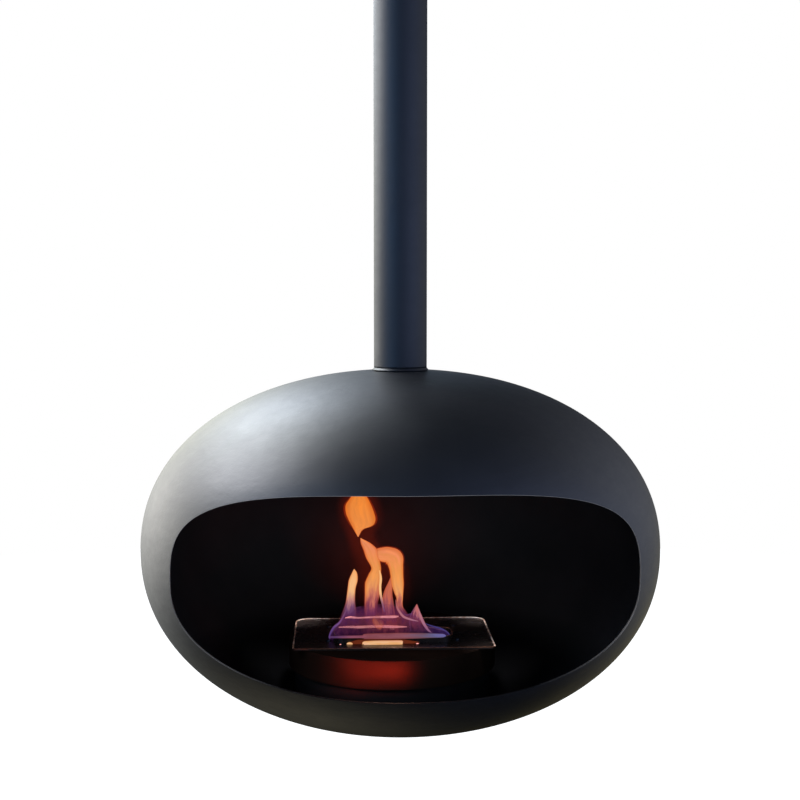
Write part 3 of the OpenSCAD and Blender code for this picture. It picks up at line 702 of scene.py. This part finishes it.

# Flame and painted glints: strands and crests in mm from the burner's middle and up from the deck
FULL = [(gas_veil, 1.14), (gas_body, 1.0)]
flames = [
    flame_tongue("flame_blob", [
        (-40.2, 176, 7), (-40.5, 170.1, 11.1), (-41, 162.7, 15.2), (-39.2, 153.7, 16.8), (-37, 146.3, 16.3),
        (-36.2, 140.4, 14.2), (-37.4, 137.2, 11.2), (-40.2, 134.9, 7.2), (-41.4, 132, 4.4),
        (-41.5, 128.5, 2.4), (-41.5, 124.5, 0.3),
    ], FULL),
    flame_tongue("flame_left_strand", [
        (-38.5, 123, 0.3), (-34.5, 119, 4), (-31, 115, 6.5), (-27, 109, 8), (-24, 98.7, 7.6),
        (-20, 87, 5.7), (-21.7, 79.4, 7), (-23.5, 72, 8.5), (-24.3, 67.5, 8.9), (-24.8, 55, 8.7),
        (-26, 45, 7.8), (-26.6, 33, 7.5), (-26.6, 11, 6.8),
    ], FULL),
    flame_tongue("flame_loop", [
        (-26, 101, 5), (-19, 102.5, 7), (-11, 102.5, 8.8), (-4.5, 101.8, 9.6), (1.4, 97.8, 11),
        (3.8, 88, 8.6), (5, 76.4, 7.5), (6, 66, 7), (7.2, 57, 5.4), (8.2, 50, 3.9), (7.9, 43, 3.8),
        (8.4, 37, 4.2), (11.5, 31, 4.8), (16, 26, 4.2), (21, 22, 3), (27, 19, 1),
    ], [(gas_veil, 1.14), (gas_loop, 1.0)], back=2, level=False),
    flame_tongue("flame_fold", [
        (-16, 85, 0.8), (-14.7, 75.5, 1.5), (-15.4, 65.3, 1.4), (-14.7, 55, 1.4), (-12.6, 45, 1.2),
        (-10.3, 34.7, 1),
    ], [(gas_pale, 1.0)], back=-6),
    flame_tongue("flame_middle", [
        (-0.9, 77.2, 0.7), (-2.4, 68.7, 2.7), (-4.8, 60.2, 4.4), (-6, 51.7, 5.8), (-5.8, 41.5, 7.1),
        (-4.6, 24.5, 7.8), (-3.8, 9, 7.8),
    ], [(gas_thin, 1.0)], back=5),
    flame_tongue("flame_left_tongue", [
        (-46.3, 85.7, 0.2), (-46, 80.6, 3.1), (-47.5, 72, 5.1), (-49.4, 62, 4.6), (-50.4, 51.7, 4.9),
        (-51, 43.2, 5.8), (-52.2, 33, 8.2), (-54, 22.8, 10.2), (-55.6, 10, 11.9),
    ], [(gas_veil, 1.14), (gas_pale, 1.0)]),
    flame_tongue("flame_right_tongue", [
        (28.8, 42.2, 0.3), (28, 34.7, 4.1), (27.7, 28, 7), (28.8, 21, 9), (30.2, 10, 9.5),
    ], [(gas_rose, 1.0)]),
    flame_bed("flame_bed", [
        (-75.5, 3), (-72.5, 10), (-66, 18), (-61, 27), (-57, 34), (-49.7, 38), (-34.4, 41), (-19, 43),
        (-2, 42), (6.4, 38), (15, 30), (23.4, 31), (32, 24), (40.4, 16), (54, 12), (64.2, 9), (69, 3.3),
    ], gas_bed),
    flame_tongue("flame_left_edge", [
        (-54.7, 42, 0.4), (-57.4, 33.3, 0.9), (-63, 22.6, 1.3), (-70.5, 16, 1.3), (-74.8, 9, 1.1),
        (-76.3, 3.5, 0.8), (-75, 2, 0.3),
    ], [(gas_edge, 1.0)], back=-3, level=False),
    flame_tongue("flame_right_edge", [
        (28.9, 41.5, 0.4), (30.6, 36, 1.2), (33.5, 28, 1.7), (36.6, 21, 1.7), (41.5, 13.5, 1.3),
        (46, 9.5, 0.5),
    ], [(gas_blush, 1.0)], back=-10, level=False),
    flame_tongue("flame_loop_edge", [
        (3, 50, 0.4), (4.5, 41.5, 1.1), (7.9, 35, 1.4), (12.8, 29.2, 1.4), (21, 25.9, 1.1), (30, 23.6, 0.4),
    ], [(gas_blush, 1.0)], back=-9, level=False),
    # The painted red glow round the flame
    flame_tongue("painted_red_glow", [
        (-40, 177, 22), (-40, 165, 30), (-38, 145, 31), (-38, 126, 22), (-30, 108, 26), (-16, 92, 37),
        (-13, 70, 40), (-13, 48, 42), (-13, 34, 40),
    ], [(red_glow_veil, 1.0)], depth=0.5),
    # The dim painted reflection on the lip's front face
    flame_tongue("painted_lip_reflection_dim", [
        (-52, 3, 0.5), (-44, 3.5, 3), (-36, 3.5, 3.4), (0, 3.5, 3.4), (12, 3.5, 3), (24, 3, 1.5),
        (30, 3, 0.4),
    ], [(lip_reflection_dim, 1.0)], depth=0.2, back=-28, level=False),
    flame_tongue("flame_blue_end", [
        (38, 19, 0.3), (47, 15.4, 0.8), (57, 12.5, 1), (64, 8.7, 1), (68, 4.5, 0.7), (66, 2, 0.3),
    ], [(gas_blue, 1.0)], level=False),
    flame_tongue("flame_front_band", [
        (-76, 9.4, 0.4), (-72, 9.4, 1.4), (-38, 9.4, 1.7), (-33, 9.8, 3.2), (0, 10, 3.6), (26, 10, 3.4),
        (44, 9.9, 2.8), (58, 9.7, 2.2), (62, 9.6, 0.5),
    ], [(gas_band, 1.0)], depth=0.2, back=-24.7, level=False),
    flame_tongue("flame_ember", [
        (-20, 32, 0.5), (-20, 28, 4.5), (-18, 23, 6.5), (-17, 18, 5), (-16, 14, 0.5),
    ], [(gas_ember, 1.0)], back=-12),
    # The painted reflection on the lip's front face
    flame_tongue("painted_lip_reflection", [
        (-35.8, 2.6, 1.5), (-34, 2.8, 2.9), (-20, 2.9, 3.4), (-4, 3, 3.3), (8.4, 3.1, 3.1), (10.4, 3, 1.8),
    ], [(painted_lip_shine, 1.0)], depth=0.3, back=-31, level=False),
    # Small glints on and near the lip's front face: painted highlights, made as glowing specks
    flame_tongue("painted_lip_speck", [
        (-55.5, 2, 0.4), (-54, 2.6, 1.2), (-51.5, 2.8, 1.5), (-50, 2.4, 1.2), (-48.5, 2, 0.4),
    ], [(painted_lip_shine, 1.0)], depth=0.3, back=-29, level=False),
    flame_tongue("painted_right_speck", [
        (26.5, 1.6, 0.3), (28, 1.8, 0.5), (29.5, 1.7, 0.3),
    ], [(glint_and_line_glow, 1.0)], depth=0.3, back=-29, level=False),
    flame_tongue("painted_left_speck", [
        (-64, 1.4, 0.3), (-63, 1.6, 0.5), (-62, 1.5, 0.3),
    ], [(glint_and_line_glow, 1.0)], depth=0.3, back=-29, level=False),
    # A lit line along the collar's back edge: a painted highlight
    flame_tongue("painted_collar_line", [
        (-65, 9.7, 0.6), (-52, 9.9, 1.3), (-40, 9.6, 1.6), (-20, 10.2, 1.6), (0, 9.7, 1.8), (10, 9.5, 1.2),
        (18, 9.3, 0.5),
    ], [(glint_and_line_glow, 1.0)], back=22, level=False),
    # The back rim's lit line, placed in front where it lines up with the rim: a painted highlight
    flame_tongue("painted_back_rim_line", [
        (-57.3, 28.3, 0.4), (-50.7, 29.1, 1.3), (-41.3, 28.3, 0.95), (-30, 28.7, 1.05), (-15, 29.1, 1.3),
        (0, 29.1, 1.6), (6.6, 29.5, 0.75),
    ], [(back_rim_line_glow, 1.0)], back=-8, level=False),
]
for flame in flames:
    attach(flame, "burner")
    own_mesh(flame)


def seen_directly(tree):
    """1 on the rays that show a background: from the camera, off gloss and through glass."""
    path = add(tree, "LightPath")
    return maths(tree, "MAXIMUM", path.outputs["Is Camera Ray"],
                 maths(tree, "MAXIMUM", path.outputs["Is Glossy Ray"], path.outputs["Is Transmission Ray"]))


def white_world():
    """A world that shows white and lights the object with a dim blue."""
    world = bpy.data.worlds.new("studio")
    scene.world = world
    world.use_nodes = True
    tree = world.node_tree
    tree.nodes.clear()
    dim = add(tree, "Background", Strength=0.25, Color=(0.8, 0.88, 1, 1))
    white = add(tree, "Background", Strength=1.0, Color=(1, 1, 1, 1))
    mix = add(tree, "MixShader", seen_directly(tree), dim.outputs[0], white.outputs[0])
    add(tree, "OutputWorld", Surface=mix.outputs[0])


def floor(radius=6, corners=64, drop=0.9):
    """A pale floor under the object, clear from below so that it never hides the underside.

    Its own glow rises from 0.6 near the middle to white further out, so that it keeps the object's shadow.
    """
    mat, tree = new_material("pale_floor")
    place = object_place(tree)
    far = add(tree, "VectorMath", place, operation="LENGTH").outputs["Value"]
    fade = map_range(tree, far, 0.6, 2.2, 0.6, 1.0)
    glow = add(tree, "Emission", Strength=maths(tree, "MULTIPLY", seen_directly(tree), fade))
    lit = add(tree, "BsdfDiffuse", Color=ramp(tree, noise(tree, place, 40, 3), [(0.3, 0.78), (0.7, 0.82)]))
    both = add(tree, "AddShader", lit.outputs[0], glow.outputs[0])
    from_below = add(tree, "NewGeometry").outputs["Backfacing"]
    clear = add(tree, "BsdfTransparent")
    finish(mat, add(tree, "MixShader", from_below, both.outputs[0], clear.outputs[0]))
    turn = np.linspace(0, 2 * np.pi, corners, endpoint=False)
    ring = [(radius * math.cos(a), radius * math.sin(a), 0) for a in turn]
    ground = link_mesh("floor", ring, [tuple(range(corners))], [mat])
    ground.location = (0, 0, BOTTOM - drop)


def soft_tent(lobes, middle=0.47, radius=1.5):
    """A room round the object for its gloss alone: soft patches of light, as (direction, tightness, colour).

    Directions are from the centre of the waist, and the room's own middle is higher, beside the pole.
    """
    mat, tree = new_material("soft_tent")
    place = add(tree, "TexCoord").outputs["Object"]
    toward = add(tree, "VectorMath", place, operation="NORMALIZE").outputs["Vector"]
    patches = []
    for direction, tightness, colour in lobes:
        facing = add(tree, "VectorMath", toward, Vector(direction).normalized(), operation="DOT_PRODUCT")
        shape = maths(tree, "POWER", maths(tree, "MAXIMUM", facing.outputs["Value"], 0.0), tightness)
        patches.append(add(tree, "VectorMath", colour, operation="SCALE", Scale=shape).outputs["Vector"])
    total = patches[0]
    for patch in patches[1:]:
        total = add(tree, "VectorMath", total, patch, operation="ADD").outputs["Vector"]
    finish(mat, add(tree, "Emission", Color=total, Strength=1.0))
    bm = bmesh.new()
    bmesh.ops.create_uvsphere(bm, u_segments=48, v_segments=24, radius=radius)
    bmesh.ops.reverse_faces(bm, faces=bm.faces)
    bmesh.ops.translate(bm, vec=(0, 0, middle), verts=bm.verts)
    mesh = bpy.data.meshes.new("soft_tent")
    bm.to_mesh(mesh)
    bm.free()
    mesh.materials.append(mat)
    tent = bpy.data.objects.new("soft_tent", mesh)
    tent.location = from_waist(0, 0, 0)
    scene.collection.objects.link(tent)
    for ray in ("camera", "diffuse", "transmission", "shadow", "volume_scatter"):
        setattr(tent, "visible_" + ray, False)


def fire_glow():
    """The flame's own light."""
    data = bpy.data.lights.new("fire_glow", "POINT")
    data.energy = 0.12
    data.color = (1.0, 0.6, 0.45)
    data.shadow_soft_size = 15 * MM
    return add_lamp("fire_glow", data, (BURNER_X, FLAME_Y, DECK + 30 * MM))


# Studio
place_camera()
white_world()
floor()
soft_tent([
    ((-0.80, 0.54, 0.25), 5, (1.30, 1.37, 1.33)),
    ((-0.86, 0.48, 0.19), 14, (4.15, 3.97, 3.73)),
    ((-0.36, 0.66, 0.66), 40, (5.5, 6.15, 7.1)),
    ((-0.52, 0.45, 0.73), 40, (10.0, 10.6, 10.7)),
    ((-0.73, 0.12, 0.68), 40, (15.8, 16.1, 17.3)),
    ((-0.41, 0.86, 0.29), 40, (1.8, 1.82, 1.35)),
    ((0.0, 0.9, 0.43), 40, (0.13, 0.19, 0.28)),
    ((-0.68, -0.64, 0.35), 14, (0.66, 1.66, 3.47)),
    ((0.71, -0.69, 0.12), 5, (0.89, 1.16, 2.07)),
    ((0.97, 0.15, 0.22), 5, (0.69, 0.73, 0.85)),
    ((0.59, 0.71, -0.38), 14, (0.30, 0.26, 0.12)),
    ((-0.35, 0.29, -0.89), 14, (0.34, 0.31, 0.22)),
])
aim = from_waist(0, 0, 0)
area_lamp("key", from_waist(-1.6, -1.2, 1.6), aim, (2.0, 2.0), 34, (1.0, 0.99, 0.97))
area_lamp("back_fill", from_waist(1.2, 2.0, 1.0), aim, (2.0, 2.0), 14, (0.9, 0.94, 1.0))
area_lamp("front_fill", from_waist(0.1, -2.2, 0.1), aim, (1.2, 0.8), 4.5, (0.95, 0.97, 1.0))

# The fire's light on the burner, and its red glow on the wall behind and on the front of the drum
glow_lamp = fire_glow()
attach(glow_lamp, "burner")
wall_glow = area_lamp("wall_glow", (-30 * MM, 210 * MM, DECK + 60 * MM), (-30 * MM, 300 * MM, DECK + 58 * MM),
                      (30 * MM, 50 * MM), 0.023, (1.0, 0.07, 0.015), spread=140)
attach(wall_glow, "fire_body")
drum_glow = area_lamp("drum_glow", (-36 * MM, drum_low.y - 27 * MM, DECK - 10 * MM),
                      (-36 * MM, 0, DECK - 10 * MM), (75 * MM, 6 * MM), 0.07, (1.0, 0.06, 0.025), spread=90)
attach(drum_glow, "fire_body")

# Glints on three corners of the tray's rim, as (side, depth, energy)
for side, depth, energy in ((-1, 62 * MM, 0.0095), (1, 62 * MM, 0.0095), (1, -72 * MM, 0.0055)):
    corner = (BURNER_X + side * 112 * MM, depth, DECK)
    above = (BURNER_X + side * 98 * MM, depth - 24 * MM, DECK + 80 * MM)
    glint = area_lamp("rim_glint", above, corner, (12 * MM, 12 * MM), energy, (1.0, 0.93, 0.9), spread=52)
    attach(glint, "fire_body")

scene.view_settings.view_transform = "Standard"
